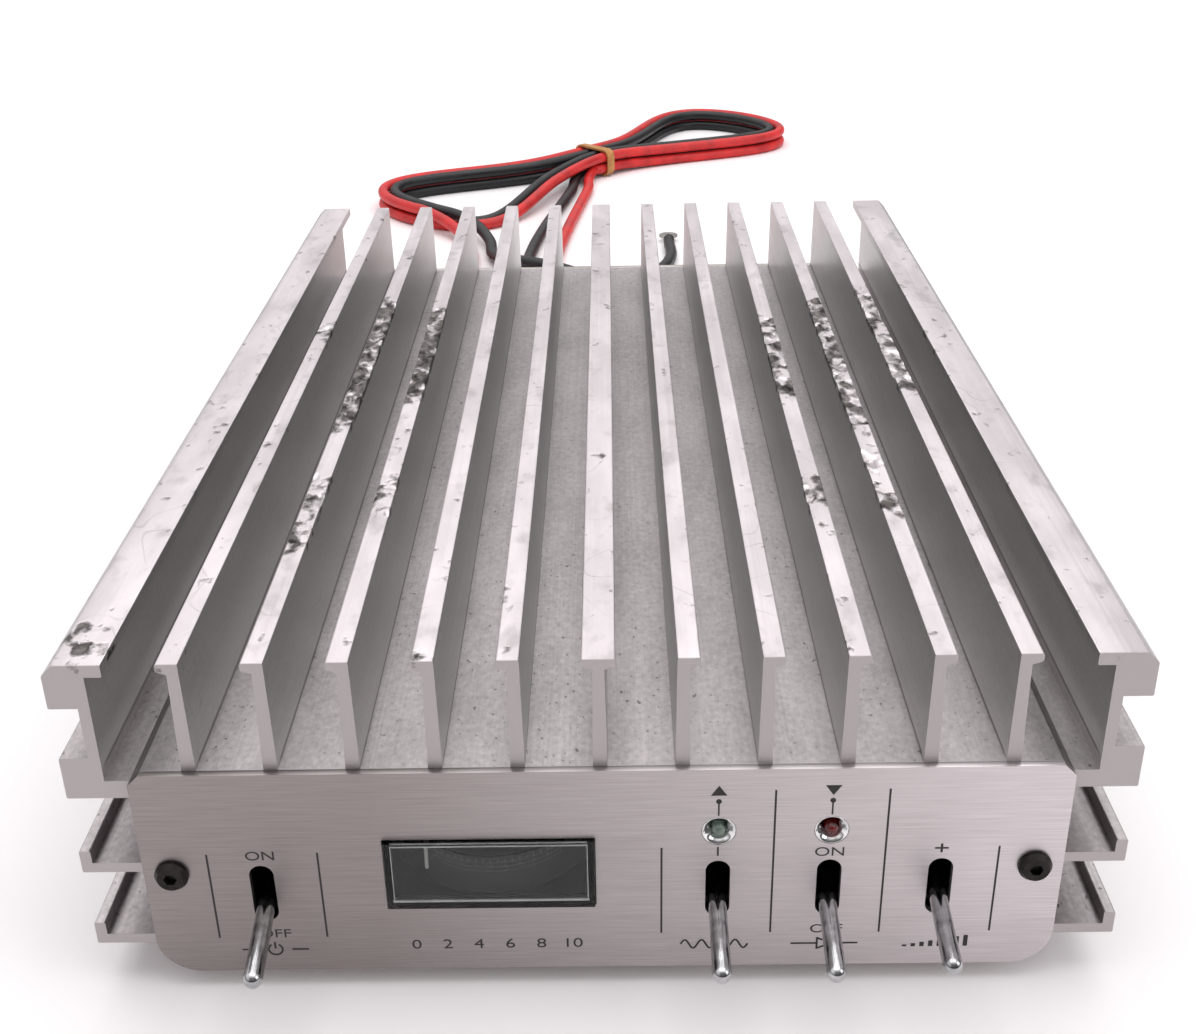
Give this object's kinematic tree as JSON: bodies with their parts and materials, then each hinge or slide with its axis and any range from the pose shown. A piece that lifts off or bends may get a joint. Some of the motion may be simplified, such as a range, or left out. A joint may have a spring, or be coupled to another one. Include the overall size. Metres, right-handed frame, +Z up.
{
  "type": "vhf power amplifier",
  "caption": "Mobile VHF power amplifier in a finned aluminium case, with toggle switches, an edgewise meter, lamps, coaxial sockets at the rear and tied supply leads.",
  "frame": {"origin": "on the table under the middle of the amplifier, levers and sockets included and supply leads left out", "axes": "+X to the right seen from the front, +Y from the front panel to the rear panel, +Z up"},
  "size_m": [0.2062, 0.7053, 0.0685],
  "materials": {
    "heatsink_aluminium": "mill-finish extrusion",
    "panel_aluminium": "brushed",
    "sheet_aluminium": "rolled sheet",
    "black_screws": "black oxide",
    "plated_steel": "zinc plated",
    "switch_phenolic": "moulded",
    "bushing_black": "blackened",
    "lever_chrome": "polished",
    "clear_acrylic": "clear",
    "scale_plate": "matte paint",
    "movement_plastic": "moulded",
    "pointer_paint": "matte paint",
    "bezel_chrome": "polished",
    "green_lens": "tinted",
    "red_lens": "tinted",
    "board_laminate": "glass fibre laminate",
    "brass": "machined",
    "ceramic": "fired",
    "relay_plastic": "moulded",
    "capacitor_sleeve": "shrink sleeve",
    "ferrite": "fired",
    "copper_wire": "enamelled",
    "tinned_sheet": "tinned",
    "socket_nickel": "nickel plated",
    "fluoropolymer": "machined",
    "black_rubber": "moulded",
    "red_pvc": "extruded",
    "black_pvc": "extruded",
    "band_rubber": "natural rubber"
  },
  "bodies": {
    "case": {"heatsink": "heatsink_aluminium", "front_panel": "panel_aluminium", "front_panel_screws": "black_screws", "switch_bracket": "plated_steel", "bracket_screws": "plated_steel", "power_switch_body": "switch_phenolic", "mode_switch_body": "switch_phenolic", "preamp_switch_body": "switch_phenolic", "level_switch_body": "switch_phenolic", "switch_bushings": "bushing_black", "switch_nuts": "plated_steel", "meter_case": "clear_acrylic", "meter_scale": "scale_plate", "meter_movement": "movement_plastic", "lamp_bezels": "bezel_chrome", "left_lamp": "green_lens", "right_lamp": "red_lens", "main_board": "board_laminate", "board_standoffs": "brass", "board_screws": "plated_steel", "rf_transistors": "ceramic", "transistor_screws": "plated_steel", "relays": "relay_plastic", "trimmer_capacitors": "ceramic", "supply_capacitor": "capacitor_sleeve", "choke_core": "ferrite", "output_coils": "copper_wire", "preamp_shield": "tinned_sheet", "rear_panel": "sheet_aluminium", "rear_panel_screws": "black_screws", "antenna_socket": "socket_nickel", "radio_socket": "socket_nickel", "socket_insulators": "fluoropolymer", "socket_contacts": "brass", "socket_screws": "plated_steel", "socket_nuts": "plated_steel", "lead_grommets": "black_rubber", "bottom_cover": "sheet_aluminium", "cover_screws": "plated_steel", "rubber_feet": "black_rubber", "foot_screws": "plated_steel", "foot_nuts": "plated_steel", "red_lead": "red_pvc", "black_lead": "black_pvc", "red_hank": "red_pvc", "black_hank": "black_pvc", "red_lead_end": "red_pvc", "black_lead_end": "black_pvc", "lead_terminals": "tinned_sheet", "rubber_band": "band_rubber"},
    "power_lever": {"power_lever": "lever_chrome"},
    "mode_lever": {"mode_lever": "lever_chrome"},
    "preamp_lever": {"preamp_lever": "lever_chrome"},
    "level_lever": {"level_lever": "lever_chrome"},
    "meter_pointer": {"meter_pointer": "pointer_paint"}
  },
  "joints": [
    {"name": "power_toggle", "type": "hinge", "parent": "case", "child": "power_lever", "pos_m": [-0.0596, -0.12639, 0.0218], "axis": [-1, 0, 0], "range_deg": [0, 30]},
    {"name": "mode_toggle", "type": "hinge", "parent": "case", "child": "mode_lever", "pos_m": [0.0202, -0.12639, 0.0218], "axis": [-1, 0, 0], "range_deg": [0, 30]},
    {"name": "preamp_toggle", "type": "hinge", "parent": "case", "child": "preamp_lever", "pos_m": [0.0396, -0.12639, 0.0218], "axis": [-1, 0, 0], "range_deg": [0, 30]},
    {"name": "level_toggle", "type": "hinge", "parent": "case", "child": "level_lever", "pos_m": [0.059, -0.12639, 0.0218], "axis": [-1, 0, 0], "range_deg": [0, 22]},
    {"name": "pointer_swing", "type": "hinge", "parent": "case", "child": "meter_pointer", "pos_m": [-0.0196, -0.11749, 0.0264], "axis": [0, 0, 1], "range_deg": [0, 72], "stiffness_Nm_per_rad": 0.0002}
  ]
}
